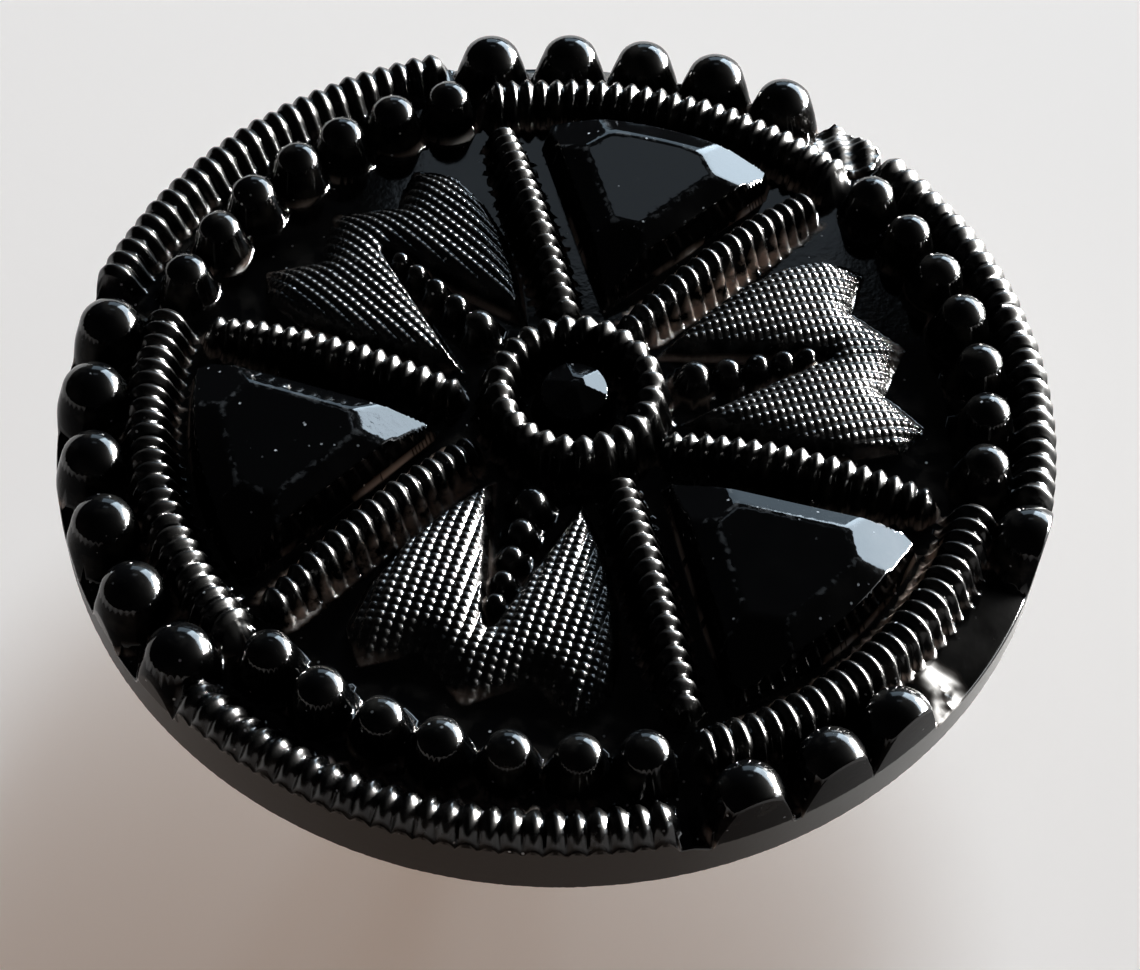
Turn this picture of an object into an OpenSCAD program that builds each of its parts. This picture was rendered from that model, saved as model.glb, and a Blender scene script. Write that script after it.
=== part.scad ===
// Sew-on dress button: a pressed black glass disc with a relief face, carried on a metal
// plate and a wire eye. Millimetres. The cloth lies on Z = 0, the face looks along +Z and
// the button's axis is the Z axis.

/* [Glass] */
// Diameter over the plain side wall
face_d = 26.5; // [25:0.5:29]
// Height of the rim cord's crest over the flat of the back
body_h = 2.4; // [2.3:0.1:3]
// Height of the flat of the back over the cloth
back_z = 4.8; // [4.7:0.1:5.4]
// Depth of the ground of the relief under the rim cord's crest
ground_drop = 0.78; // [0.7:0.02:0.9]

/* [Shank] */
// Inside radius of the sewing eye
eye_r = 1.5; // [1.4:0.05:1.55]
// Width of the shank wire, which is the length of the eye's bore
wire_w = 1.5; // [1.4:0.05:1.6]
// Thickness of the half-round shank wire
wire_t = 0.75; // [0.7:0.01:0.78]
// Diameter of the shank plate where it shows
plate_d = 8; // [7:0.5:9]
// Thickness of the shank plate
plate_t = 0.5; // [0.4:0.05:0.6]

/* [Relief] */
// Beads on the rim over each stone
rim_beads = 6; // [5:1:6]
// Beads inside the rim cord over each leaf
inner_beads = 7; // [5:1:7]
// Slope of the crown facets of the stones, in degrees
crown_angle = 30; // [26:1:32]

/* [Hidden] */
$fn = 48;

// Three stones, with a leaf between each two
sectors = 3;

// The face is laid out in shares of u, the radius of the rim cord's crest.
wall_r = face_d / 2;
u = wall_r / 1.035;
crest_z = back_z + body_h;
ground_z = crest_z - ground_drop;
sector_angle = 360 / sectors;

// Levels over the rim cord's crest
rim_bead_dz = -0.005 * u;
inner_bead_dz = 0.03 * u;
table_dz = 0.045 * u;
spoke_arch = 0.045 * u;

rim_cord_w = 0.036 * u;
inner_cord_r = 0.865 * u;
inner_cord_w = 0.043 * u;
rim_bead_r = 0.985 * u;
rim_bead_w = 0.054 * u;
inner_bead_ring_r = 0.872 * u;
inner_bead_w = 0.042 * u;
rim_seat_z = crest_z - 0.075 * u;
rim_step = 0.05;
rim_inner_r = 0.93 * u;

spoke_dir = 31.4;
spoke_shift = 0.055 * u;
spoke_in = 0.226 * u;
spoke_out = 0.777 * u;
spoke_w = 0.03 * u;

stone_apex = 0.275 * u;
stone_out = 0.785 * u;
stone_table_in = 0.45 * u;
stone_table_out = 0.707 * u;
stone_half_w = 0.258 * u;
corner_x = 0.635 * u;
corner_y = 0.15 * u;
corner_facing = 52.4;

leaf_dome_x = 0.42 * u;
leaf_dome_r = 1.6 * u;
leaf_dz = -0.005 * u;
leaf_split = 0.01;
notch_bead_r = 0.034 * u;

hub_r = 0.157 * u;
hub_w = 0.026 * u;
hub_dz = 0.02 * u;
boss_r = 0.082 * u;
boss_collar = 0.7;
boss_top = 0.5;

eye_z = eye_r + wire_t;
plate_z = 2 * eye_z - 0.05;
plate_bevel = 0.4;
swell_d = plate_d + 3;
leg_gap = 0.06;
leg_r = 0.78;
leg_top = plate_z + plate_t + 0.25;
foot_len = 0.75;
foot_tilt = 75;

// ---- Glass ----

// The plain disc, with its flat back, its swelling round the plate and the dished rim
module disc() {
    rotate_extrude($fn = 120)
        polygon([
            [0, plate_z],
            [plate_d / 2 + 0.5, plate_z],
            [swell_d / 2, back_z],
            [wall_r - 0.15, back_z],
            [wall_r, back_z + 0.15],
            [wall_r, rim_seat_z],
            [rim_inner_r, ground_z],
            [0, ground_z]
        ]);
}

// A band of glass under a length of rim cord, with its rounded crest
module rim_cord(a0, a1) {
    rotate([0, 0, a0])
        rotate_extrude(angle = a1 - a0, $fn = 120)
            union() {
                polygon([
                    [rim_inner_r - 0.3, rim_seat_z - 0.4],
                    [wall_r - rim_step, rim_seat_z - 0.4],
                    [wall_r - rim_step, crest_z - rim_cord_w],
                    [wall_r - rim_step - 2 * rim_cord_w, crest_z - rim_cord_w],
                    [rim_inner_r - 0.3, ground_z - 0.1]
                ]);
                translate([wall_r - rim_step - rim_cord_w, crest_z - rim_cord_w])
                    circle(r = rim_cord_w);
            }
}

// A low cord lying on the ground along an arc
module inner_cord(a0, a1) {
    rotate([0, 0, a0])
        rotate_extrude(angle = a1 - a0, $fn = 120)
            union() {
                translate([inner_cord_r, crest_z - inner_cord_w + 0.3])
                    circle(r = inner_cord_w);
                translate([inner_cord_r - inner_cord_w, ground_z - 0.2])
                    square([2 * inner_cord_w, crest_z - inner_cord_w + 0.3 - ground_z + 0.2]);
            }
}

// A domed bead on a conical foot that goes down to foot_z, with its flank tangent to the dome
module bead(r, angle, z, w, flank, foot_z) {
    foot = z - foot_z;
    neck = w * sin(flank);
    shoulder = w * cos(flank);
    rotate([0, 0, angle])
        translate([r, 0, z])
            rotate_extrude()
                intersection() {
                    union() {
                        circle(r = w);
                        polygon([
                            [0, -foot],
                            [neck + (foot + shoulder) / tan(flank), -foot],
                            [neck, shoulder],
                            [0, shoulder]
                        ]);
                    }
                    translate([0, -foot])
                        square([3 * w, foot + w]);
                }
}

// The beads of the rim, trimmed flush with the side wall
module rim_bead_row() {
    step = 60 / rim_beads;
    for (i = [0 : rim_beads - 1])
        difference() {
            bead(
                rim_bead_r, (i - (rim_beads - 1) / 2) * step,
                crest_z + rim_bead_dz, rim_bead_w, 76, rim_seat_z - 0.3
            );
            translate([0, 0, back_z])
                rotate_extrude($fn = 120)
                    translate([wall_r - rim_step, 0])
                        square([4, 10]);
        }
}

module inner_bead_row() {
    step = 60 / inner_beads;
    for (i = [0 : inner_beads - 1])
        bead(
            inner_bead_ring_r, (i - (inner_beads - 1) / 2) * step,
            crest_z + inner_bead_dz, inner_bead_w, 80, ground_z - 0.15
        );
}

// A corded spoke, arched along its length, drawn along +X from 0
module arched_rib(length) {
    bow_r = (length * length / 4 + spoke_arch * spoke_arch) / (2 * spoke_arch);
    half = asin(length / 2 / bow_r);
    base = crest_z - spoke_w - ground_z + 0.2;
    translate([length / 2, 0, crest_z - spoke_w - bow_r + spoke_arch])
        rotate([90, 0, 0])
            union() {
                rotate([0, 0, 90 - half])
                    rotate_extrude(angle = 2 * half, $fn = 96)
                        translate([bow_r, 0])
                            circle(r = spoke_w);
                translate([0, 0, -spoke_w])
                    linear_extrude(2 * spoke_w)
                        intersection() {
                            circle(r = bow_r, $fn = 96);
                            translate([-length / 2, bow_r - spoke_arch - base])
                                square([length, base + spoke_arch]);
                        }
            }
}

module spoke(side) {
    along = sqrt(spoke_in * spoke_in - spoke_shift * spoke_shift);
    length = sqrt(spoke_out * spoke_out - spoke_shift * spoke_shift) - along;
    rotate([0, 0, side * spoke_dir])
        translate([along, -side * spoke_shift, 0])
            arched_rib(length);
}

// Everything under a plane that passes through (x, y) at the height of the stone's table,
// slopes down at the crown angle and faces the direction "facing"
module under_crown(x, y, facing) {
    big = 30;
    translate([x, y, crest_z + table_dz])
        rotate([0, 0, facing])
            rotate([0, crown_angle, 0])
                translate([-big, -big, -2 * big])
                    cube([2 * big, 2 * big, 2 * big]);
}

// A cut stone: table, two long side facets, three corner facets and an arc facet
module stone() {
    intersection() {
        translate([0, 0, ground_z - 0.3])
            linear_extrude(crest_z + table_dz - ground_z + 0.3)
                intersection() {
                    circle(r = stone_out, $fn = 120);
                    polygon([
                        [stone_apex, 0],
                        [stone_apex + u, -u * tan(spoke_dir)],
                        [stone_apex + u, u * tan(spoke_dir)]
                    ]);
                    translate([0, -stone_half_w])
                        square([u, 2 * stone_half_w]);
                }
        under_crown(stone_table_in, 0, 180);
        for (side = [-1, 1]) {
            under_crown(stone_table_in, side * 0.03 * u, side * (90 + spoke_dir));
            under_crown(corner_x, side * corner_y, side * corner_facing);
        }
        translate([0, 0, ground_z - 1])
            cylinder(
                r1 = stone_table_out + (crest_z + table_dz - ground_z + 1) / tan(crown_angle),
                r2 = stone_table_out,
                h = crest_z + table_dz - ground_z + 1,
                $fn = 120
            );
    }
}

// A domed leaf in two halves, split by a notch at its inner end and lobed at its outer end
module leaf() {
    half = [
        [0.57, 0], [0.255, 0.098], [0.345, 0.176], [0.45, 0.232], [0.55, 0.262],
        [0.64, 0.268], [0.73, 0.22], [0.655, 0.115], [0.762, 0]
    ];
    for (side = [-1, 1])
        intersection() {
            translate([0, 0, ground_z - 0.2])
                linear_extrude(2)
                    polygon([for (p = half) [p[0] * u, side * (p[1] * u + leaf_split)]]);
            translate([leaf_dome_x, 0, crest_z + leaf_dz - leaf_dome_r])
                sphere(r = leaf_dome_r, $fn = 180);
        }
}

// A row of shrinking beads down the notch of a leaf
module notch_beads() {
    for (i = [0 : 4])
        translate([(0.275 + 0.068 * i - 0.003 * i * i) * u, 0, ground_z + 0.1])
            sphere(r = notch_bead_r - 0.004 * i * u);
}

// The corded ring and the faceted boss in the middle
module hub() {
    rotate_extrude($fn = 96)
        union() {
            translate([hub_r, crest_z + hub_dz])
                circle(r = hub_w);
            translate([hub_r - hub_w, ground_z - 0.2])
                square([2 * hub_w, crest_z + hub_dz - ground_z + 0.2]);
        }
    translate([0, 0, ground_z - 0.2])
        cylinder(r = boss_r, h = boss_collar + 0.2);
    translate([0, 0, ground_z + boss_collar])
        cylinder(r1 = boss_r, r2 = boss_r * 0.45, h = boss_top, $fn = 6);
}

module relief() {
    hub();
    for (s = [0 : sectors - 1]) {
        rotate([0, 0, s * sector_angle + 60]) {
            rim_bead_row();
            inner_cord(-27, 27);
            stone();
            spoke(-1);
            spoke(1);
        }
        rotate([0, 0, s * sector_angle]) {
            rim_cord(-28, 28);
            inner_bead_row();
            leaf();
            notch_beads();
        }
    }
}

module glass_body() {
    color([0.02, 0.02, 0.022])
        difference() {
            union() {
                disc();
                relief();
            }
            plate_solid();
            legs();
        }
}

// ---- Shank ----

// The bevelled plate, without its hole
module plate_solid() {
    translate([0, 0, plate_z])
        cylinder(r1 = plate_d / 2, r2 = plate_d / 2 + plate_bevel, h = plate_t, $fn = 96);
}

module shank_plate() {
    color([0.45, 0.43, 0.4])
        difference() {
            plate_solid();
            translate([0, 0, plate_z - 1])
                cylinder(r = leg_r, h = plate_t + 2);
        }
}

// The two legs of the wire above the eye, spread apart inside the glass
module legs() {
    translate([0, 0, eye_z + eye_r])
        cylinder(r = leg_r, h = leg_top - eye_z - eye_r);
    for (side = [0, 180])
        rotate([0, 0, side])
            translate([leg_r / 2, 0, leg_top - 0.1]) {
                sphere(r = leg_r / 2);
                rotate([0, foot_tilt, 0])
                    cylinder(r = leg_r / 2, h = foot_len);
            }
}

// The wire eye: half-round wire bent round into a ring, with its flat side inwards
module shank_loop() {
    color([0.5, 0.48, 0.45])
        difference() {
            union() {
                translate([0, 0, eye_z])
                    rotate([90, 0, 0])
                        rotate_extrude($fn = 96)
                            intersection() {
                                translate([eye_r, 0])
                                    scale([wire_t / (wire_w / 2), 1])
                                        circle(r = wire_w / 2);
                                translate([eye_r, -wire_w])
                                    square([wire_t, 2 * wire_w]);
                            }
                legs();
            }
            translate([0, 0, eye_z])
                rotate([90, 0, 0])
                    cylinder(r = eye_r, h = 2 * wire_w, center = true, $fn = 96);
            translate([-leg_gap / 2, -wire_w, eye_z + eye_r - 0.2])
                cube([leg_gap, 2 * wire_w, leg_top - eye_z - eye_r + 0.05]);
        }
}

glass_body();
shank_plate();
shank_loop();
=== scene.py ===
"""Looks of the sew-on dress button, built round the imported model.

The pressed glass is one closed mesh. Its decorated face is a height over the plan of the
button, as a pressing that leaves its mould always is, so every part of the relief is a
function height(x, y) and the mesh only has to follow the highest of them. Plan positions
and heights are in shares of U, the radius of the rim cord's crest, and heights count from
that crest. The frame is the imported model's: metres, +Z out of the face.
"""

import math

import bpy
import numpy as np
from mathutils import Matrix, Vector
from mathutils.geometry import delaunay_2d_cdt


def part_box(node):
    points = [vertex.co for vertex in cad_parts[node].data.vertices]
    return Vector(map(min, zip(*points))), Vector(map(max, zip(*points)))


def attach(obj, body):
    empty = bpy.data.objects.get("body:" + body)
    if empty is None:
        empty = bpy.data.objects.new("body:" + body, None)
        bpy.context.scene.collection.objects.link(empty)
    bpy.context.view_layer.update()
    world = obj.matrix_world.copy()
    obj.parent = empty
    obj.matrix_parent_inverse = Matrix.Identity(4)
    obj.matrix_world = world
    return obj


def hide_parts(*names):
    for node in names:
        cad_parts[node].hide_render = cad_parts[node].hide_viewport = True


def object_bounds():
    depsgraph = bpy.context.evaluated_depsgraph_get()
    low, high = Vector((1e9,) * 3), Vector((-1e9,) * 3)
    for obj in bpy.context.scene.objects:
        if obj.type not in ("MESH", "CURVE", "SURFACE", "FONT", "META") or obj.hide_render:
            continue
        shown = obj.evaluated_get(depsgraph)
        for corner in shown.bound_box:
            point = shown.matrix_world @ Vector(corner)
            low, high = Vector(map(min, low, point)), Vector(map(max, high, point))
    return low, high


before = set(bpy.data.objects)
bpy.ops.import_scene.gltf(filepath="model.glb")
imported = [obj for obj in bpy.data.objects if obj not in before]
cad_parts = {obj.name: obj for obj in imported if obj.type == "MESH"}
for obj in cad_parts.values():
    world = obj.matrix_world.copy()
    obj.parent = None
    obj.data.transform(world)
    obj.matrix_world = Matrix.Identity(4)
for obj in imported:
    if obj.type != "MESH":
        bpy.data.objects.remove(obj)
cad_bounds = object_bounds()

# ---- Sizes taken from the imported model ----

GLASS_LOW, GLASS_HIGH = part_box("glass_body")
PLATE_LOW, PLATE_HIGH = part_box("shank_plate")

WALL_R = 1.04
U = (GLASS_HIGH.x - GLASS_LOW.x) / 2 / WALL_R
BEAD_TOP = 0.072
CREST = GLASS_HIGH.z - BEAD_TOP * U

# ---- The layout of the relief, in shares of U ----

# The wall with its rim cord, and the hub, are a little off the centre of the rest.
WALL_AT = (-0.0213, 0.0127)
HUB_AT = (0.012, -0.0035)

SECTORS = 3
LEAF_AT = 0
STONE_AT = 60
GROUND = -0.061
RIM_SEAT = -0.108
CORD_SEAT = -0.085
RIM_SEAT_R = 0.93
WALL_FOOT = -0.185
WALL_FILLET = 0.006
FILLET = 0.008
WAVE_HEIGHT = 0.0006
CORD_SECTOR_HALF = 31
SATIN_ABOVE_SEAT = 0.014
RIM_CORD_LINE = -0.056

RIM_CORD = {"r": 0.996, "w": 0.04, "top": 0.0, "ribs": 25, "half": 28.4,
            "depth": 0.014, "flank": 61}
INNER_CORD = {"r": 0.865, "w": 0.043, "top": 0.023, "ribs": 25, "half": 27.6,
              "depth": 0.016, "flank": 70}
HUB_RING = {"r": 0.157, "w": 0.029, "top": 0.05, "ribs": 24, "half": 180.0,
            "depth": 0.015, "flank": 74}

RIM_BEAD = {"r": 0.982, "w": 0.074, "z": -0.036, "count": 6, "step": 10.0, "turn": 1.0,
            "cap": 54, "flank": 73}
INNER_BEAD = {"r": 0.864, "w": 0.056, "z": -0.004, "count": 7, "step": 60 / 7, "turn": 0.0,
              "cap": 52, "flank": 74}

SPOKE = {"dir": 31.4, "shift": 0.055, "start": 0.219, "end": 0.775, "w": 0.03,
         "arch": 0.045, "ribs": 17, "depth": 0.015, "flank": 70}

STONE_TABLE = 0.045
STONE_SLOPE = 22
STONE_ARC = 0.785
STONE_TABLE_ARC = 0.707
STONE_HALF_W = 0.258
STONE_APEX = 0.275
STONE_EDGE = 0.004
DULL_SIDE = 1.3

LEAF_OUTLINE = [(0.56, 0), (0.222, 0.092), (0.32, 0.166), (0.43, 0.226), (0.54, 0.26),
                (0.64, 0.268), (0.73, 0.22), (0.655, 0.115), (0.762, 0)]
LEAF_TOP = -0.004
LEAF_ROLL = 0.07
LEAF_ROLL_DROP = 0.03
LEAF_FALL = 0.75
LEAF_FALL_FROM = 0.48
LEAF_WALL_SLOPE = 66
STEEP_WALL_SLOPE = 78
DOT_ALONG = 0.0166
DOT_ACROSS = 0.0217
DOT_HEIGHT = 0.0075

NOTCH_BEADS = [(0.272, 0.034), (0.345, 0.027), (0.41, 0.024), (0.468, 0.021), (0.52, 0.018)]
NOTCH_BEAD_Z = -0.022

BOSS_R = 0.086
BOSS_TOP = 0.04
BOSS_TABLE = 0.014
BOSS_SLOPE = 23

# Two rim beads of one sector are broken off, with a rough ridge left where one of them stood,
# and the end bead of another sector has lost its top.
BROKEN_SECTOR = 2
BROKEN_BEADS = (3, 4)
STUB_AT = -56.0
STUB_Z = -0.07
STUB_SLOPE = 0.34
CHIPPED_SECTOR = 0
CHIPPED_BEAD = 0
CHIPPED_Z = -0.05

# Pale silt lies along both feet of two spokes, by stone sector and side, and at one cord's foot.
SILTED_SPOKES = ((0, -1), (1, 1))
SILT_OFF = 0.046
SILT_WIDTH = 0.011
SILT_CORD_SECTOR = 2
SILT_CORD_OFF = 0.053
SILT_CORD_WIDTH = 0.009

# The mirror image of the floor is held back on flanks whose normals rise less than this.
STEEP_FROM = 0.45
STEEP_OVER = 0.12

GROUND_ID, RIM_CORD_ID, INNER_CORD_ID, RIM_BEAD_ID, INNER_BEAD_ID, SPOKE_ID, STONE_ID, LEAF_ID, \
    NOTCH_ID, HUB_ID, BOSS_ID, CHIP_ID = range(12)

# How worn the skin of each part is, in the order of the part numbers: the ribs and dots most,
# the beads and the ridge a little, the ground and the stones hardly.
WEAR = [0.05, 0.2, 0.18, 0.07, 0.07, 0.2, 0.03, 0.2, 0.08, 0.2, 0.03, 0.09]


# ---- Shapes of the relief ----

# Where a ball's side is taken over by a steep line, and how softly a cap runs into its cone.
BALL_SIDE = 0.98
CAP_JOIN = 0.004


def jitter(seed, *keys):
    """A repeatable number from -1 to 1 for each rib or bead, worked out from its own numbers."""
    total = seed * 12.9898
    for i, key in enumerate(keys):
        total = total + np.asarray(key, float) * (78.233 + 37.719 * i)
    return 2 * np.mod(np.abs(np.sin(total)) * 43758.5453, 1) - 1


def smooth_max(a, b, k):
    t = np.clip(0.5 + 0.5 * (a - b) / k, 0, 1)
    return b + (a - b) * t + k * t * (1 - t)


def smooth_min(a, b, k):
    return -smooth_max(-a, -b, k)


def dome(d, w, flank, cap=None):
    """Height over its centre of a ball of radius w on a cone, from the slope of its cap down."""
    edge = math.radians(cap or flank)
    reach = w * math.sin(edge)
    ball = np.sqrt(np.maximum(w * w - d * d, 0))
    cone = w * math.cos(edge) - (d - reach) * math.tan(math.radians(flank))
    if cap is None:
        return np.where(d < reach, ball, cone)
    side = w * BALL_SIDE
    ball = np.where(d < side, ball, w * 0.2 - (d - side) * 5)
    return smooth_min(ball, cone, CAP_JOIN)


def in_sector(x, y, centre):
    """Turns points into the axes of the nearest sector centre: along it, across it, its number."""
    turn = np.round((np.degrees(np.arctan2(y, x)) - centre) / 120)
    a = np.radians(centre + 120 * turn)
    return x * np.cos(a) + y * np.sin(a), y * np.cos(a) - x * np.sin(a), np.mod(turn, 3)


def ribbed(along, across, length, shape, sector):
    """A cord with round ribs, along from 0 to length, as a height over the level of its top."""
    pitch = length / shape["ribs"]
    number = np.clip(np.floor(along / pitch), 0, shape["ribs"] - 1)
    phase = along / pitch - number - 0.5
    phase = np.clip(phase, -0.5, 0.5)
    round_part = 0.5 * np.sqrt(np.maximum(1 - (1.9 * phase) ** 2, 0))
    hollow = 0.5 * np.sin(math.pi * phase) ** 2 + 0.5 - round_part
    w = shape["w"] * (1 + 0.035 * jitter(shape["ribs"], number, sector)) - shape["depth"] * hollow
    past_end = np.maximum(np.maximum(-along, along - length), 0)
    return dome(np.abs(across), w, shape["flank"]) - shape["w"] - 3 * past_end


def arc_cord(x, y, centre, shape):
    px, py, sector = in_sector(x, y, centre)
    r = np.hypot(px, py)
    half = math.radians(shape["half"])
    along = (np.arctan2(py, px) + half) * shape["r"]
    return shape["top"] + ribbed(along, r - shape["r"], 2 * half * shape["r"], shape, sector)


def hub_ring(x, y):
    x, y = x - HUB_AT[0], y - HUB_AT[1]
    r = np.hypot(x, y)
    along = (np.arctan2(y, x) + math.pi) * HUB_RING["r"]
    length = 2 * math.pi * HUB_RING["r"]
    return HUB_RING["top"] + ribbed(along, r - HUB_RING["r"], length, HUB_RING, 0)


def broken_stub(x, y):
    r = np.hypot(x, y)
    off = np.radians(np.mod(np.degrees(np.arctan2(y, x)) - STUB_AT + 180, 360) - 180) * r
    line = off + 0.3 * (r - 0.98) + 0.004 * np.sin(70 * r)
    ragged = 0.0013 * np.sin(83 * r + 29 * off) + 0.0006 * np.sin(147 * r - 310 * off)
    z = STUB_Z - 0.3 * (r - 0.94) - STUB_SLOPE * np.abs(line) + ragged
    return z - 3 * np.maximum(0.925 - r, 0)


def bead_row(x, y, centre, shape, seed):
    px, py, sector = in_sector(x, y, centre)
    last = (shape["count"] - 1) / 2
    bearing = np.degrees(np.arctan2(py, px)) - shape["turn"]
    number = np.clip(np.round(bearing / shape["step"] + last), 0, 2 * last)
    sway = 0.35 * jitter(seed, number, sector)
    a = np.radians((number - last) * shape["step"] + shape["turn"] + sway)
    r = shape["r"] + 0.003 * jitter(seed + 1, number, sector)
    w = shape["w"] * (1 + 0.04 * jitter(seed + 2, number, sector))
    d = np.hypot(px - r * np.cos(a), py - r * np.sin(a))
    broken = (sector == BROKEN_SECTOR) & np.isin(number, BROKEN_BEADS) & (shape is RIM_BEAD)
    z = shape["z"] + dome(d, w, shape["flank"], shape["cap"])
    ragged = CHIPPED_Z + 0.007 * np.sin(61 * px + 23 * py) + 0.004 * np.sin(97 * py - 41 * px)
    ragged = ragged + 0.003 * np.sin(233 * px + 171 * py)
    chipped = (sector == CHIPPED_SECTOR) & (number == CHIPPED_BEAD) & (shape is RIM_BEAD)
    z = np.where(chipped, np.minimum(z, ragged), z)
    return np.where(broken, -1.0, z)


def spokes(x, y):
    px, py, sector = in_sector(x, y, STONE_AT)
    a = math.radians(SPOKE["dir"])
    along = px * math.cos(a) + np.abs(py) * math.sin(a) - SPOKE["start"]
    across = px * math.sin(a) - np.abs(py) * math.cos(a) - SPOKE["shift"]
    length = SPOKE["end"] - SPOKE["start"]
    arch = SPOKE["arch"] * (1 - (2 * np.clip(along / length, 0, 1) - 1) ** 2)
    return arch + ribbed(along, across, length, SPOKE, sector * 2 + (py > 0))


def facing(px, py, through, direction):
    """How far points lie past a line, measured in the direction that the line faces."""
    a = math.radians(direction)
    return (px - through[0]) * math.cos(a) + (py - through[1]) * math.sin(a)


def stone_facets(x, y):
    """The facet planes of the cut stone over each point, as a list of heights."""
    px, py, sector = in_sector(x, y, STONE_AT)
    ay = np.abs(py)
    slope = math.tan(math.radians(STONE_SLOPE))
    side_slope = np.where((sector == 1) & (py < 0), DULL_SIDE, 1.0) * slope
    side = 90 + SPOKE["dir"]
    return [
        np.full_like(px, STONE_TABLE),
        STONE_TABLE - slope * facing(px, ay, (0.45, 0), 180),
        STONE_TABLE - side_slope * facing(px, ay, (0.45, 0.03), side),
        STONE_TABLE - slope * facing(px, ay, (0.635, 0.15), 52.4),
        STONE_TABLE - slope * (np.hypot(px, py) - STONE_TABLE_ARC),
    ]


def stone_outline(x, y):
    """Distance past the girdle, negative inside the stone."""
    px, py, _ = in_sector(x, y, STONE_AT)
    ay = np.abs(py)
    side = facing(px, ay, (STONE_APEX, 0), 90 + SPOKE["dir"])
    return np.maximum(np.maximum(side, ay - STONE_HALF_W), np.hypot(px, py) - STONE_ARC)


def stones(x, y):
    facets = stone_facets(x, y)
    z = facets[0]
    for facet in facets[1:]:
        z = smooth_min(z, facet, STONE_EDGE)
    wall = GROUND - math.tan(math.radians(STEEP_WALL_SLOPE)) * stone_outline(x, y)
    return smooth_min(z, wall, STONE_EDGE)


def leaf_outline(px, ay):
    """Distance past the outline of half a leaf, negative inside."""
    nearest = np.full_like(px, 9.0)
    inside = np.zeros(px.shape, bool)
    for (ax, a_y), (bx, b_y) in zip(LEAF_OUTLINE, LEAF_OUTLINE[1:]):
        ex, ey = bx - ax, b_y - a_y
        t = np.clip(((px - ax) * ex + (ay - a_y) * ey) / (ex * ex + ey * ey), 0, 1)
        nearest = np.minimum(nearest, np.hypot(px - ax - t * ex, ay - a_y - t * ey))
        crosses = (a_y > ay) != (b_y > ay)
        with np.errstate(divide="ignore", invalid="ignore"):
            at = ax + (ay - a_y) * ex / (ey if ey else 1)
        inside ^= crosses & (px < at)
    return np.where(inside, -nearest, nearest)


def silt(x, y):
    """Where pale dirt has settled along the feet of some spokes and of one cord, from 0 to 1."""
    px, py, sector = in_sector(x, y, STONE_AT)
    a = math.radians(SPOKE["dir"])
    along = px * math.cos(a) + np.abs(py) * math.sin(a) - SPOKE["start"]
    across = px * math.sin(a) - np.abs(py) * math.cos(a) - SPOKE["shift"]
    line = np.exp(-((np.abs(across) - SILT_OFF) / SILT_WIDTH) ** 2) * np.clip(along / 0.05, 0, 1)
    line = line * np.clip((SPOKE["end"] - SPOKE["start"] + 0.02 - along) / 0.04, 0, 1)
    chosen = np.zeros(x.shape, bool)
    for number, hand in SILTED_SPOKES:
        chosen |= (sector == number) & (py * hand > 0)
    foot = np.exp(-((np.hypot(px, py) - INNER_CORD["r"] + SILT_CORD_OFF) / SILT_CORD_WIDTH) ** 2)
    foot = foot * ((sector == SILT_CORD_SECTOR) & (np.abs(py) < 0.3))
    return np.maximum(line * chosen, 0.8 * foot)


def leaf_axes(plan):
    px, py, _ = in_sector(plan[:, 0], plan[:, 1], LEAF_AT)
    return px, np.maximum(np.abs(py), 1e-6)


def leaves(x, y):
    px, py, _ = in_sector(x, y, LEAF_AT)
    ay = np.maximum(np.abs(py), 1e-6)
    past = leaf_outline(px, ay)
    fall = LEAF_FALL * np.maximum(px - LEAF_FALL_FROM, 0) ** 2
    roll = LEAF_ROLL_DROP * np.clip(1 + past / LEAF_ROLL, 0, 1) ** 2
    fx = px / DOT_ALONG
    fy = py / DOT_ACROSS + 0.5
    fx, fy = fx - np.round(fx), fy - np.round(fy)
    dots = DOT_HEIGHT * np.cos(math.pi * fy) * (0.5 + 0.5 * np.cos(math.pi * fx))
    dots = dots * np.clip(-past / 0.012 - 0.3, 0, 1)
    top = LEAF_TOP - fall - roll + dots
    wall = GROUND - math.tan(math.radians(LEAF_WALL_SLOPE)) * past
    return smooth_min(top, wall, 0.004)


def notch_beads(x, y):
    px, py, _ = in_sector(x, y, LEAF_AT)
    z = np.full_like(px, -1.0)
    for at, w in NOTCH_BEADS:
        z = np.maximum(z, NOTCH_BEAD_Z + dome(np.hypot(px - at, py), w, 70))
    return z


def boss(x, y):
    x, y = x - HUB_AT[0], y - HUB_AT[1]
    out = np.full_like(x, -9.0)
    for k in range(6):
        a = math.radians(60 * k)
        out = np.maximum(out, x * math.cos(a) + y * math.sin(a))
    facets = BOSS_TOP - math.tan(math.radians(BOSS_SLOPE)) * (out - BOSS_TABLE)
    z = smooth_min(np.full_like(x, BOSS_TOP), facets, 0.004)
    wall = GROUND - math.tan(math.radians(STEEP_WALL_SLOPE)) * (np.hypot(x, y) - BOSS_R)
    return smooth_min(z, wall, 0.005)


def ground(x, y):
    r = np.hypot(x, y)
    px, py, _ = in_sector(x, y, STONE_AT)
    off = np.degrees(np.abs(np.arctan2(py, px)))
    seat = CORD_SEAT + (RIM_SEAT - CORD_SEAT) * np.clip((CORD_SECTOR_HALF - off) / 2, 0, 1)
    drop = np.clip((r - RIM_SEAT_R) / (WALL_R - RIM_SEAT_R), 0, 1)
    return GROUND + (seat - GROUND) * drop


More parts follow.
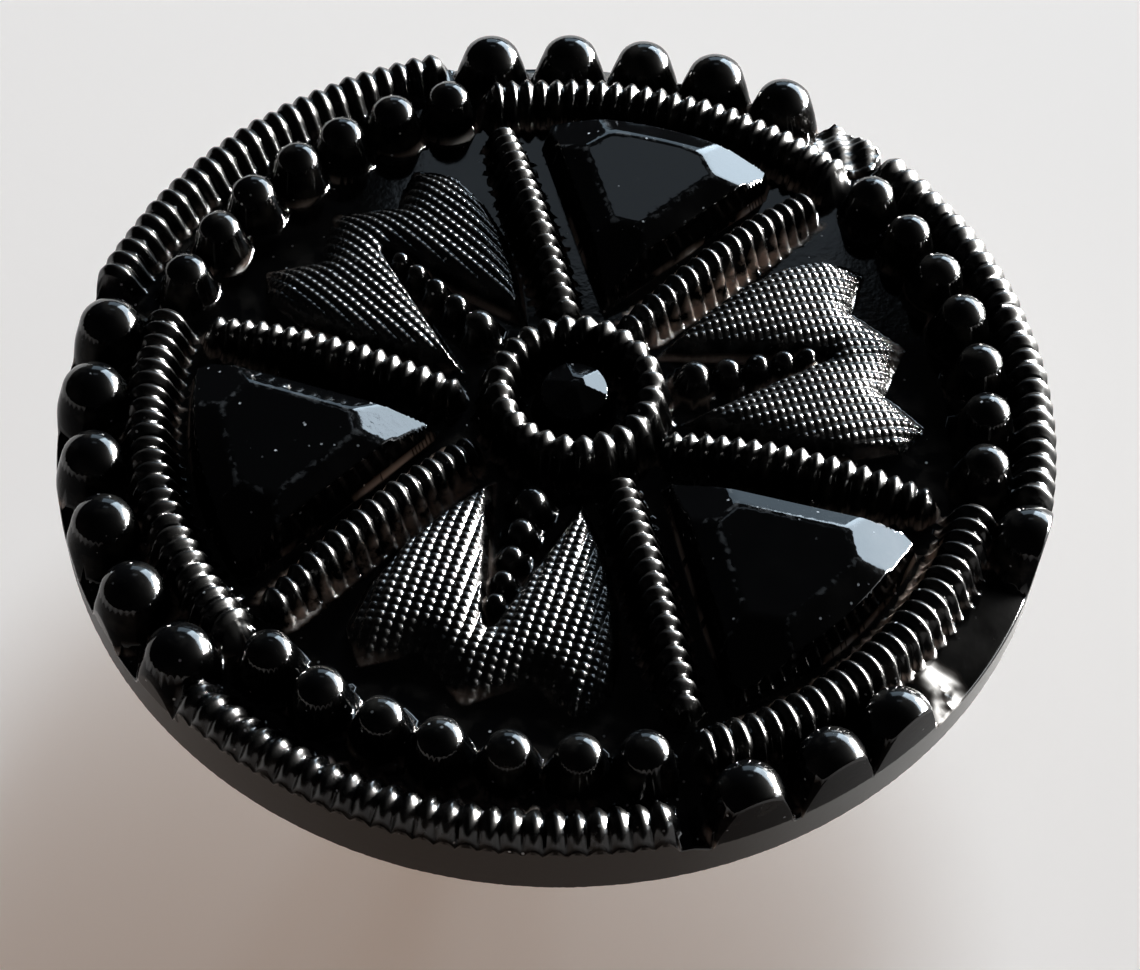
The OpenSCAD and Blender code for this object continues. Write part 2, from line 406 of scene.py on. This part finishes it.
def layers(x, y):
    """The height of every part of the relief over each point, in the order of the part numbers."""
    return np.stack([
        ground(x, y),
        arc_cord(x - WALL_AT[0], y - WALL_AT[1], LEAF_AT, RIM_CORD),
        arc_cord(x, y, STONE_AT, INNER_CORD),
        bead_row(x, y, STONE_AT, RIM_BEAD, 3),
        bead_row(x, y, LEAF_AT, INNER_BEAD, 7),
        spokes(x, y),
        stones(x, y),
        leaves(x, y),
        notch_beads(x, y),
        hub_ring(x, y),
        boss(x, y),
        broken_stub(x, y),
    ])


def wall_radius(x, y):
    return np.hypot(x - WALL_AT[0], y - WALL_AT[1])


def face_height(x, y, stack=None):
    """The pressed face: the highest part over each point, with a fillet at every foot."""
    stack = layers(x, y) if stack is None else stack
    z = stack[0]
    for part in stack[1:]:
        z = np.where(part > z - FILLET, smooth_max(z, part, FILLET), z)
    into = np.clip((wall_radius(x, y) - (WALL_R - WALL_FILLET)) / WALL_FILLET, 0, 1)
    z = z - WALL_FILLET * (1 - np.sqrt(np.maximum(1 - into * into, 0)))
    wave = np.sin(7.1 * x + 1.3) * np.sin(6.3 * y + 0.4) + 0.5 * np.sin(17 * x - 11 * y)
    return z + WAVE_HEIGHT * wave


# ---- Where the mesh needs points ----

def turned(points, angle):
    a = math.radians(angle)
    c, s = math.cos(a), math.sin(a)
    return np.stack([points[:, 0] * c - points[:, 1] * s, points[:, 0] * s + points[:, 1] * c], 1)


def grid(xs, ys):
    gx, gy = np.meshgrid(xs, ys)
    return np.stack([gx.ravel(), gy.ravel()], 1)


def arc_points(shape, per_rib, reach, rows):
    half = math.radians(shape["half"])
    steps = shape["ribs"] * per_rib
    a = np.linspace(-half, half, steps + 1)
    r = shape["r"] + np.linspace(-reach, reach, rows)
    polar = grid(a, r)
    return np.stack([polar[:, 1] * np.cos(polar[:, 0]), polar[:, 1] * np.sin(polar[:, 0])], 1)


def ring_points(centre, radii, per_ring):
    points = [np.array([centre])]
    for i, r in enumerate(radii):
        a = (np.arange(per_ring) + 0.5 * (i % 2)) * 2 * math.pi / per_ring
        points.append(np.stack([centre[0] + r * np.cos(a), centre[1] + r * np.sin(a)], 1))
    return np.concatenate(points)


def bead_points(shape, foot):
    last = (shape["count"] - 1) / 2
    w = shape["w"] * math.sin(math.radians(shape["cap"]))
    radii = [w * share for share in (0.16, 0.33, 0.5, 0.65, 0.78, 0.87, 0.93, 0.98, 1.03, 1.08)]
    radii += list(np.linspace(w * 1.2, foot, 4))
    parts = []
    for k in range(shape["count"]):
        a = math.radians((k - last) * shape["step"] + shape["turn"])
        centre = (shape["r"] * math.cos(a), shape["r"] * math.sin(a))
        parts.append(ring_points(centre, radii, 32))
    return np.concatenate(parts)


def spoke_points(per_rib, reach, rows):
    length = SPOKE["end"] - SPOKE["start"]
    local = grid(np.linspace(SPOKE["start"] - 0.02, SPOKE["end"] + 0.02,
                             round((length + 0.04) / length * SPOKE["ribs"] * per_rib)),
                 np.linspace(-reach, reach, rows))
    local[:, 1] -= SPOKE["shift"]
    upper = turned(local, SPOKE["dir"])
    return np.concatenate([upper, upper * [1, -1]])


def snapped_to_edges(points, spacing):
    """Moves the points that lie next to an edge of a stone's facets onto that edge."""
    step = 1e-4

    def gap(p):
        facets = np.sort(np.stack(stone_facets(p[:, 0], p[:, 1])), 0)
        return facets[1] - facets[0]

    here = gap(points)
    slope = np.stack([gap(points + [step, 0]) - gap(points - [step, 0]),
                      gap(points + [0, step]) - gap(points - [0, step])], 1) / (2 * step)
    steep = np.maximum((slope ** 2).sum(1), 1e-9)
    move = here / np.sqrt(steep)
    near = move < 0.5 * spacing
    moved = points - slope * (here / steep)[:, None]
    return np.where(near[:, None], moved, points)


def offset_ring(distances, outline, spacing, centre):
    """Points along lines at the given distances from an outline, found by walking out from a centre."""
    found = []
    a = np.arange(0, 2 * math.pi, spacing)
    ray = np.stack([np.cos(a), np.sin(a)], 1)
    for distance in distances:
        low, high = np.zeros(len(a)), np.full(len(a), 0.6)
        for _ in range(26):
            middle = (low + high) / 2
            p = np.array(centre) + ray * middle[:, None]
            outside = outline(p[:, 0], p[:, 1]) > distance
            low, high = np.where(outside, low, middle), np.where(outside, middle, high)
        found.append(np.array(centre) + ray * low[:, None])
    return np.concatenate(found)


def stone_points(spacing):
    gx, gy = np.arange(0.2, 0.84, spacing), np.arange(-0.32, 0.32, spacing)
    inner = turned(grid(gx, gy), STONE_AT)
    inner = inner[stone_outline(inner[:, 0], inner[:, 1]) < -0.022]
    inner = snapped_to_edges(inner, spacing)
    centre = turned(np.array([[0.58, 0.0]]), STONE_AT)[0]
    distances = [0.008, 0.003, 0, -0.005, -0.01, -0.0135, -0.017, -0.022]
    edge = offset_ring(distances, stone_outline, 0.022, centre)
    return inner, edge


def leaf_points(per_dot):
    step = DOT_ACROSS / per_dot
    local = grid(np.arange(0.21, 0.78, DOT_ALONG / (per_dot - 1)),
                 np.arange(-0.29, 0.29, step) + step / 2)
    past = leaf_outline(local[:, 0], np.abs(local[:, 1]))
    return local[past < 0.008]


def leaf_edge_points(spacing):
    parts = []
    for offset in (-0.006, 0.0, -0.018, -0.012):
        for (ax, ay), (bx, by) in zip(LEAF_OUTLINE, LEAF_OUTLINE[1:]):
            n = max(2, round(math.hypot(bx - ax, by - ay) / spacing))
            t = np.linspace(0, 1, n)
            p = np.stack([ax + (bx - ax) * t, ay + (by - ay) * t], 1)
            normal = np.array([by - ay, ax - bx]) / math.hypot(bx - ax, by - ay)
            for side in (1, -1):
                q = p + normal * offset * side
                past = leaf_outline(q[:, 0], np.abs(q[:, 1]))
                parts.append(q[np.abs(past - offset) < 5e-4])
    upper = np.concatenate(parts)
    return np.concatenate([upper, upper * [1, -1]])


RIM_STEPS = 960


def face_points():
    """Plan points for the face, closest where the relief is finest, and none twice."""
    stone_inner, stone_edge = stone_points(0.011)
    sets = []

    def add(points, centre, own):
        for k in range(SECTORS):
            sets.append((turned(points, centre + 120 * k), own))

    add(stone_edge, 0, STONE_ID)
    add(stone_inner, 0, STONE_ID)
    add(leaf_edge_points(0.006), LEAF_AT, LEAF_ID)
    add(bead_points(RIM_BEAD, 0.1), STONE_AT, RIM_BEAD_ID)
    add(bead_points(INNER_BEAD, 0.076), LEAF_AT, INNER_BEAD_ID)
    for at, w in NOTCH_BEADS:
        radii = [w * f for f in (0.3, 0.55, 0.75, 0.9, 1.0, 1.15, 1.35)]
        add(ring_points((at, 0.0), radii, 16), LEAF_AT, NOTCH_ID)
    for k in range(SECTORS):
        cord = turned(arc_points(RIM_CORD, 8, 0.07, 17), LEAF_AT + 120 * k)
        sets.append((cord + WALL_AT, RIM_CORD_ID))
    add(arc_points(INNER_CORD, 8, 0.078, 17), STONE_AT, INNER_CORD_ID)
    add(spoke_points(7, 0.06, 15), STONE_AT, SPOKE_ID)
    add(leaf_points(5), LEAF_AT, LEAF_ID)
    sets.append((arc_points(HUB_RING, 9, 0.055, 15) + HUB_AT, HUB_ID))
    sets.append((ring_points(HUB_AT, list(np.arange(0.006, 0.106, 0.006)), 60), BOSS_ID))
    stub = arc_points({"r": 0.98, "half": 4, "ribs": 30}, 1, 0.07, 30)
    sets.append((turned(stub, STUB_AT), CHIP_ID))
    spacing = 0.0145
    reach = WALL_R + 0.03
    columns = np.arange(-reach, reach, spacing)
    base = np.concatenate([
        np.stack([columns + (i % 2) * spacing / 2, np.full(len(columns), v)], 1)
        for i, v in enumerate(np.arange(-reach, reach, spacing * 0.866))
    ])
    sets.append((base, GROUND_ID))

    kept = []
    for points, own in sets:
        points = points[wall_radius(points[:, 0], points[:, 1]) < WALL_R - WALL_FILLET - 0.004]
        stack = layers(points[:, 0], points[:, 1])
        best = stack.max(0)
        if own == GROUND_ID:
            fine = stack[0] > stack[1:].max(0) + 0.012
        else:
            fine = stack[own] > best - 0.02
        kept.append(points[fine])
    a = np.arange(RIM_STEPS) * 2 * math.pi / RIM_STEPS
    for share in (1.0, 0.8, 0.45, 0.0):
        r = WALL_R - WALL_FILLET + WALL_FILLET * share
        kept.insert(0, np.stack([r * np.cos(a), r * np.sin(a)], 1) + WALL_AT)
    points = np.concatenate(kept)

    cell = 0.0036
    rim = 4 * RIM_STEPS
    keys = np.floor(points / cell).astype(np.int64)
    keys = keys[:, 0] * 100003 + keys[:, 1]
    keys[:rim] = -np.arange(1, rim + 1) * 10 ** 9
    _, first = np.unique(keys, return_index=True)
    return points[np.sort(first)]


def triangulated(points):
    found = delaunay_2d_cdt([Vector(p) for p in points], [], [], 0, 1e-7, False)
    plan = np.array([tuple(v) for v in found[0]])
    faces = np.array(found[2], np.int64)
    a, b, c = plan[faces[:, 0]], plan[faces[:, 1]], plan[faces[:, 2]]
    area = (b[:, 0] - a[:, 0]) * (c[:, 1] - a[:, 1]) - (b[:, 1] - a[:, 1]) * (c[:, 0] - a[:, 0])
    faces = faces[np.abs(area) > 1e-10]
    area = area[np.abs(area) > 1e-10]
    faces[area < 0] = faces[area < 0][:, ::-1]
    return plan, faces


def normals_of(height, plan):
    step = 6e-4
    x, y = plan[:, 0], plan[:, 1]
    dx = (height(x + step, y) - height(x - step, y)) / (2 * step)
    dy = (height(x, y + step) - height(x, y - step)) / (2 * step)
    n = np.stack([-dx, -dy, np.ones_like(dx)], 1)
    return n / np.linalg.norm(n, axis=1)[:, None]


# ---- The pressed glass ----

def back_height(r):
    """The back of the glass, in metres: flat, with a swelling round the plate's seat."""
    back = GLASS_LOW.z + 0.00035
    plate_r = (PLATE_HIGH.x - PLATE_LOW.x) / 2 - 0.0004
    swell = np.clip((0.0055 - r) / 0.001, 0, 1)
    swell = swell * swell * (3 - 2 * swell)
    seat = np.where(r < plate_r + 0.00001, 0.0002, 0)
    edge = np.clip((r - (WALL_R * U - 0.00015)) / 0.00015, 0, 1)
    return back - 0.00035 * swell + seat + 0.00015 * edge


def chipped_at():
    """The plan position of the bead that has lost its top."""
    last = (RIM_BEAD["count"] - 1) / 2
    bearing = (CHIPPED_BEAD - last) * RIM_BEAD["step"] + RIM_BEAD["turn"]
    a = math.radians(STONE_AT + 120 * CHIPPED_SECTOR + bearing)
    return np.array([RIM_BEAD["r"] * math.cos(a), RIM_BEAD["r"] * math.sin(a)])


def glass_mesh():
    plan, faces = triangulated(face_points())
    stack = layers(plan[:, 0], plan[:, 1])
    z = face_height(plan[:, 0], plan[:, 1], stack)
    normals = normals_of(face_height, plan)
    ranked = np.sort(stack, 0)
    crevice = np.exp(-np.abs(ranked[-1] - ranked[-2]) / 0.02)
    top_part = stack.argmax(0)
    at_leaf = np.minimum(np.abs(leaf_outline(*leaf_axes(plan))) / 0.02, 1)
    far_end = np.clip((np.hypot(plan[:, 0], plan[:, 1]) - 0.55) / 0.06, 0, 1)
    crevice = crevice * (1 - 0.6 * far_end * (1 - at_leaf))
    wear = np.array(WEAR)[top_part]
    # Nearness to the stones' facet edges and girdle; the material paints a pale edge highlight there,
    # mixed with some dust.
    faces_of_stone = np.sort(np.stack(stone_facets(plan[:, 0], plan[:, 1])), 0)
    gap = np.minimum(faces_of_stone[1] - faces_of_stone[0],
                     1.2 * np.abs(stone_outline(plan[:, 0], plan[:, 1]) + 0.012))
    edge = np.where(top_part == STONE_ID, np.exp(-gap / 0.002), 0)

    chipped = np.hypot(*(plan - chipped_at()).T) < RIM_BEAD["w"] * 0.9
    wear = np.where(chipped & (top_part == RIM_BEAD_ID), 0.28, wear)

    rim = np.nonzero(wall_radius(plan[:, 0], plan[:, 1]) > WALL_R - 1e-5)[0]
    angle = np.arctan2(plan[rim, 1] - WALL_AT[1], plan[rim, 0] - WALL_AT[0])
    rim = rim[np.argsort(angle)]
    angle = np.sort(angle)
    out = np.stack([np.cos(angle), np.sin(angle), np.zeros_like(angle)], 1)
    normals[rim] = out

    verts = [np.column_stack([(plan - WALL_AT) * U, CREST + z * U])]
    all_normals = [normals]
    satin = [np.zeros(len(plan))]
    steep = [np.clip((STEEP_FROM - normals[:, 2]) / STEEP_OVER, 0, 1)]
    plain = len(plan)
    tris = [faces]
    count = len(plan)
    n = len(rim)
    above = rim
    # The wall is ground satin up to a level line; above it the beads' outer sides stay polished.
    off = np.degrees(np.abs(np.arctan2(*in_sector(plan[rim, 0], plan[rim, 1], STONE_AT)[1::-1])))
    line = np.where(off < CORD_SECTOR_HALF, RIM_SEAT + SATIN_ABOVE_SEAT, RIM_CORD_LINE)
    above_line = np.clip((z[rim] - line) / 0.01, 0, 1)
    steep[0][rim] = above_line
    high = np.minimum(z[rim] - 0.001, line + 0.003)
    low = np.minimum(high - 0.001, line - 0.001)
    rings = [(high, 0.0), (low, 1.0)]
    rings += [(low + (WALL_FOOT - low) * share, 1.0) for share in (0.35, 0.7, 1.0)]
    for i, (height, ground_satin) in enumerate(rings):
        r = WALL_R * U - 0.000006 * (1 + jitter(11 + i, np.arange(n)))
        verts.append(np.column_stack([np.cos(angle) * r, np.sin(angle) * r, CREST + height * U]))
        all_normals.append(out)
        satin.append(np.maximum(ground_satin, 1 - above_line))
        steep.append(above_line * (1 - ground_satin))
        ring = np.arange(count, count + n)
        nxt, anxt = np.roll(ring, -1), np.roll(above, -1)
        tris.append(np.stack([above, ring, nxt], 1))
        tris.append(np.stack([above, nxt, anxt], 1))
        above = ring
        count += n

    radii = [WALL_R * U - 0.00012, 0.0128, 0.0105, 0.008, 0.0065, 0.0057, 0.0054, 0.0051,
             0.0048, 0.0045, 0.0042, 0.00402, 0.00399, 0.0037, 0.003, 0.0015]
    steps = [540, 270, 180, 150, 144, 144, 144, 144, 144, 144, 144, 144, 144, 72, 36, 18]
    back_points = [np.column_stack([np.cos(angle), np.sin(angle)]) * WALL_R * U]
    for r, k in zip(radii, steps):
        a = (np.arange(k) + 0.5) * 2 * math.pi / k
        back_points.append(np.column_stack([np.cos(a), np.sin(a)]) * r)
    back_plan, back_faces = triangulated(np.concatenate(back_points) * 100)
    back_plan = back_plan / 100
    back_r = np.hypot(back_plan[:, 0], back_plan[:, 1])
    back_z = back_height(back_r)
    outer = np.nonzero(back_r > WALL_R * U - 1e-7)[0]
    outer = outer[np.argsort(np.arctan2(back_plan[outer, 1], back_plan[outer, 0]))]
    index = np.arange(count, count + len(back_plan))
    index[outer] = above
    inner = np.setdiff1d(np.arange(len(back_plan)), outer)
    index[inner] = np.arange(count, count + len(inner))
    verts.append(np.column_stack([back_plan[inner], back_z[inner]]))
    step = 2e-6
    slope = (back_height(back_r[inner] + step) - back_height(back_r[inner] - step)) / (2 * step)
    direction = back_plan[inner] / back_r[inner][:, None]
    back_n = np.column_stack([direction * slope[:, None], -np.ones(len(inner))])
    all_normals.append(back_n / np.linalg.norm(back_n, axis=1)[:, None])
    satin.append(np.ones(len(inner)))
    steep.append(np.zeros(len(inner)))
    tris.append(index[back_faces][:, ::-1])

    verts = np.concatenate(verts)
    tris = np.concatenate(tris)
    mesh = bpy.data.meshes.new("pressed_glass")
    mesh.from_pydata(verts.tolist(), [], tris.tolist())
    mesh.polygons.foreach_set("use_smooth", np.ones(len(tris), bool))
    rest = np.zeros(len(verts) - plain)
    for name, values in (("satin", np.concatenate(satin)), ("steep", np.concatenate(steep)),
                         ("silt", np.concatenate([silt(plan[:, 0], plan[:, 1]), rest])),
                         ("crevice", np.concatenate([crevice, rest])),
                         ("wear", np.concatenate([wear, rest])),
                         ("edge", np.concatenate([edge, rest]))):
        attribute = mesh.attributes.new(name, "FLOAT", "POINT")
        attribute.data.foreach_set("value", values.astype(np.float32))
    mesh.normals_split_custom_set_from_vertices(np.concatenate(all_normals).tolist())
    return mesh


glass = bpy.data.objects.new("pressed_glass", glass_mesh())
bpy.context.scene.collection.objects.link(glass)
print("glass triangles", len(glass.data.polygons), "points", len(glass.data.vertices))


# ---- Materials ----

def new_material(name):
    material = bpy.data.materials.new(name)
    material.use_nodes = True
    nodes = material.node_tree.nodes
    return material, nodes, material.node_tree.links, nodes["Principled BSDF"]


def math_node(nodes, links, operation, a, b=None, clamp=False):
    node = nodes.new("ShaderNodeMath")
    node.operation = operation
    node.use_clamp = clamp
    for socket, value in zip(node.inputs, (a, b)):
        if value is None:
            continue
        if isinstance(value, (int, float)):
            socket.default_value = value
        else:
            links.new(value, socket)
    return node.outputs[0]


def attribute_node(nodes, name):
    node = nodes.new("ShaderNodeAttribute")
    node.attribute_name = name
    return node.outputs["Fac"]


def noise_node(nodes, links, place, scale, detail=2.0):
    node = nodes.new("ShaderNodeTexNoise")
    node.inputs["Scale"].default_value = scale
    node.inputs["Detail"].default_value = detail
    links.new(place, node.inputs["Vector"])
    return node.outputs["Fac"]


def ramp_node(nodes, links, value, low, high):
    node = nodes.new("ShaderNodeMapRange")
    node.inputs["From Min"].default_value = low
    node.inputs["From Max"].default_value = high
    node.clamp = True
    links.new(value, node.inputs["Value"])
    return node.outputs["Result"]


def mix_colour(nodes, links, factor, a, b):
    node = nodes.new("ShaderNodeMix")
    node.data_type = "RGBA"
    links.new(factor, node.inputs["Factor"])
    for socket, value in zip((node.inputs[6], node.inputs[7]), (a, b)):
        if isinstance(value, tuple):
            socket.default_value = value
        else:
            links.new(value, socket)
    return node.outputs[2]


def glass_material():
    material, nodes, links, shader = new_material("black_glass")
    place = nodes.new("ShaderNodeTexCoord").outputs["Object"]
    satin = attribute_node(nodes, "satin")
    crevice = attribute_node(nodes, "crevice")

    patches = noise_node(nodes, links, place, 420.0, 4.0)
    residue = math_node(nodes, links, "MULTIPLY", ramp_node(nodes, links, crevice, 0.4, 0.9),
                        ramp_node(nodes, links, patches, 0.47, 0.58), True)
    crumbs = noise_node(nodes, links, place, 2100.0, 4.0)
    silted = ramp_node(nodes, links, attribute_node(nodes, "silt"), 0.15, 0.7)
    settled = math_node(nodes, links, "MULTIPLY", silted,
                        ramp_node(nodes, links, crumbs, 0.38, 0.55), True)
    dirty = math_node(nodes, links, "MAXIMUM", residue, settled)
    # Pale grey along the stones' facet edges and girdle is a painted edge highlight, with some dust
    # worn into the edges, broken into patches by noise.
    grains = noise_node(nodes, links, place, 3400.0, 3.0)
    edge = ramp_node(nodes, links, attribute_node(nodes, "edge"), 0.3, 0.9)
    edge_glint_and_wear = math_node(nodes, links, "MULTIPLY", edge,
                          ramp_node(nodes, links, grains, 0.5, 0.62), True)
    specks = nodes.new("ShaderNodeTexVoronoi")
    specks.inputs["Scale"].default_value = 3300.0
    links.new(place, specks.inputs["Vector"])
    small = ramp_node(nodes, links, specks.outputs["Distance"], 0.15, 0.08)
    picked = nodes.new("ShaderNodeSeparateColor")
    links.new(specks.outputs["Color"], picked.inputs["Color"])
    dust_and_edge_glint = math_node(nodes, links, "MULTIPLY", small,
                     ramp_node(nodes, links, picked.outputs["Red"], 0.76, 0.93), True)
    edge_glint_and_wear = math_node(nodes, links, "MULTIPLY", edge_glint_and_wear, 0.08)
    dust_and_edge_glint = math_node(nodes, links, "MAXIMUM", dust_and_edge_glint, edge_glint_and_wear)

    colour = mix_colour(nodes, links, residue, (0.002, 0.002, 0.0022, 1), (0.42, 0.32, 0.27, 1))
    colour = mix_colour(nodes, links, settled, colour, (0.85, 0.62, 0.5, 1))
    bloom = noise_node(nodes, links, place, 1500.0, 5.0)
    bloom = math_node(nodes, links, "MULTIPLY", ramp_node(nodes, links, bloom, 0.48, 0.7), 0.035)
    off_stones = ramp_node(nodes, links, attribute_node(nodes, "wear"), 0.03, 0.05)
    bloom = math_node(nodes, links, "MULTIPLY", bloom, off_stones)
    colour = mix_colour(nodes, links, bloom, colour, (0.5, 0.44, 0.38, 1))
    # Dust specks, and the painted edge highlight along the stones' edges, in pale grey.
    colour = mix_colour(nodes, links, dust_and_edge_glint, colour, (0.6, 0.6, 0.62, 1))
    colour = mix_colour(nodes, links, satin, colour, (0.012, 0.011, 0.010, 1))
    links.new(colour, shader.inputs["Base Color"])

    film = noise_node(nodes, links, place, 900.0, 3.0)
    rough = math_node(nodes, links, "MULTIPLY", film, 0.07)
    rough = math_node(nodes, links, "ADD", rough, attribute_node(nodes, "wear"))
    rough = math_node(nodes, links, "MAXIMUM", rough, math_node(nodes, links, "MULTIPLY", dirty, 0.75))
    rough = math_node(nodes, links, "MAXIMUM", rough, math_node(nodes, links, "MULTIPLY", satin, 0.42))
    links.new(rough, shader.inputs["Roughness"])
    shader.inputs["IOR"].default_value = 1.54
    polish = math_node(nodes, links, "MULTIPLY", satin, -0.25)
    polish = math_node(nodes, links, "ADD", polish, 0.5)
    shade = math_node(nodes, links, "MULTIPLY", attribute_node(nodes, "steep"), -0.485)
    links.new(math_node(nodes, links, "ADD", polish, shade, True), shader.inputs["Specular IOR Level"])

    skin = noise_node(nodes, links, place, 5200.0, 2.0)
    bump = nodes.new("ShaderNodeBump")
    bump.inputs["Distance"].default_value = 0.000006
    bump.inputs["Strength"].default_value = 0.35
    links.new(skin, bump.inputs["Height"])
    links.new(bump.outputs["Normal"], shader.inputs["Normal"])
    return material


def metal_material(name, colour, dull):
    material, nodes, links, shader = new_material(name)
    place = nodes.new("ShaderNodeTexCoord").outputs["Object"]
    stain = noise_node(nodes, links, place, 700.0, 5.0)
    dark = tuple(0.45 * c for c in dull[:3]) + (1,)
    tone = mix_colour(nodes, links, ramp_node(nodes, links, stain, 0.35, 0.7), colour, dull)
    pits = ramp_node(nodes, links, noise_node(nodes, links, place, 2300.0, 4.0), 0.62, 0.75)
    tone = mix_colour(nodes, links, pits, tone, dark)
    links.new(tone, shader.inputs["Base Color"])
    shader.inputs["Metallic"].default_value = 1.0
    rough = ramp_node(nodes, links, stain, 0.3, 0.8)
    rough = math_node(nodes, links, "MULTIPLY_ADD", rough, 0.25)
    rough.node.inputs[2].default_value = 0.3
    links.new(rough, shader.inputs["Roughness"])
    bump = nodes.new("ShaderNodeBump")
    bump.inputs["Distance"].default_value = 0.00001
    bump.inputs["Strength"].default_value = 0.5
    links.new(noise_node(nodes, links, place, 3500.0, 4.0), bump.inputs["Height"])
    links.new(bump.outputs["Normal"], shader.inputs["Normal"])
    return material


glass.data.materials.append(glass_material())
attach(glass, "root")
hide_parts("glass_body")

for node_name, material in (
    ("shank_plate", metal_material("plate_metal", (0.33, 0.31, 0.28, 1), (0.2, 0.15, 0.11, 1))),
    ("shank_loop", metal_material("wire_metal", (0.42, 0.40, 0.37, 1), (0.25, 0.2, 0.15, 1))),
):
    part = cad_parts[node_name]
    part.data.materials.clear()
    part.data.materials.append(material)


# ---- Floor, light and camera ----

def floor_material():
    material, nodes, links, shader = new_material("pale_floor")
    shader.inputs["Base Color"].default_value = (0.8, 0.8, 0.8, 1)
    shader.inputs["Roughness"].default_value = 0.6
    shader.inputs["Specular IOR Level"].default_value = 0.0
    shader.inputs["Emission Color"].default_value = (0.26, 0.19, 0.15, 1)
    shader.inputs["Emission Strength"].default_value = 1.0
    return material


def floor_object():
    ring = [(0.9 * math.cos(a), 0.9 * math.sin(a), 0) for a in np.linspace(0, 2 * math.pi, 65)[:-1]]
    mesh = bpy.data.meshes.new("floor")
    mesh.from_pydata(ring, [], [list(range(64))])
    floor = bpy.data.objects.new("floor", mesh)
    floor.location.z = cad_bounds[0][2]
    floor.data.materials.append(floor_material())
    bpy.context.scene.collection.objects.link(floor)
    return floor


# Directions in the scene are measured from the camera's right, turning away from the camera.
VIEW_TURN = 16.2
VIEW_RISE = 54.45
VIEW_ROLL = 2.55
VIEW_DISTANCE = 5.0
AIM = (0.0352, -0.2375)
LENS = 78.45

CENTRE = Vector((0, 0, CREST))


def direction(azimuth, rise):
    a, e = math.radians(azimuth - VIEW_TURN), math.radians(rise)
    return Vector((math.cos(e) * math.cos(a), math.cos(e) * math.sin(a), math.sin(e)))


def area_light(name, azimuth, rise, distance, width, height, power, colour, glossy, diffuse):
    data = bpy.data.lights.new(name, "AREA")
    data.shape = "RECTANGLE"
    data.size, data.size_y = width, height
    data.energy = power
    data.color = colour
    light = bpy.data.objects.new(name, data)
    toward = direction(azimuth, rise)
    light.location = CENTRE + toward * distance
    light.rotation_euler = toward.to_track_quat("Z", "Y").to_euler()
    light.visible_glossy = glossy
    light.visible_diffuse = diffuse
    light.visible_camera = False
    bpy.context.scene.collection.objects.link(light)
    return light


def make_camera():
    back = direction(-90, VIEW_RISE)
    right = direction(0, 0)
    up = back.cross(right)
    roll = math.radians(VIEW_ROLL)
    right, up = (right * math.cos(roll) + up * math.sin(roll),
                 up * math.cos(roll) - right * math.sin(roll))
    turn = math.radians(-VIEW_TURN)
    aim = CENTRE + Vector((AIM[0] * math.cos(turn) - AIM[1] * math.sin(turn),
                           AIM[0] * math.sin(turn) + AIM[1] * math.cos(turn), 0)) * U
    place = aim + back * VIEW_DISTANCE * U
    data = bpy.data.cameras.new("camera")
    data.lens = LENS
    data.sensor_width = 36.0
    data.clip_start = 0.001
    camera = bpy.data.objects.new("camera", data)
    axes = Matrix((right, up, back)).transposed().to_4x4()
    camera.matrix_world = Matrix.Translation(place) @ axes
    bpy.context.scene.collection.objects.link(camera)
    bpy.context.scene.camera = camera


# Name, direction, distance, width, height, watts and colour; then whether gloss and whether
# diffuse light see it. The gloss lights make the highlights, and the room lights the floor.
floor_object()
area_light("band", 28, 8, 0.6, 0.95, 0.15, 3.0, (0.93, 0.97, 1.0), True, False)
area_light("key", 31, 8.5, 0.5, 0.36, 0.15, 210.0, (1.0, 0.98, 0.94), True, False)
area_light("window", 50, 21, 0.6, 0.6, 0.24, 4.2, (0.72, 0.87, 1.0), True, False)
area_light("window_far", 84, 17, 0.6, 0.36, 0.2, 0.3, (0.62, 0.82, 1.0), True, False)
area_light("sheet", 88, 46.5, 0.6, 0.12, 0.06, 0.011, (0.72, 0.86, 1.0), True, False)
area_light("room", 75, 14, 0.6, 0.22, 0.22, 10.5, (0.84, 0.94, 1.0), False, True)
make_camera()

world = bpy.data.worlds.new("room")
world.use_nodes = True
world.node_tree.nodes["Background"].inputs["Color"].default_value = (0.008, 0.008, 0.0085, 1)
bpy.context.scene.world = world
bpy.context.scene.view_settings.view_transform = "Standard"
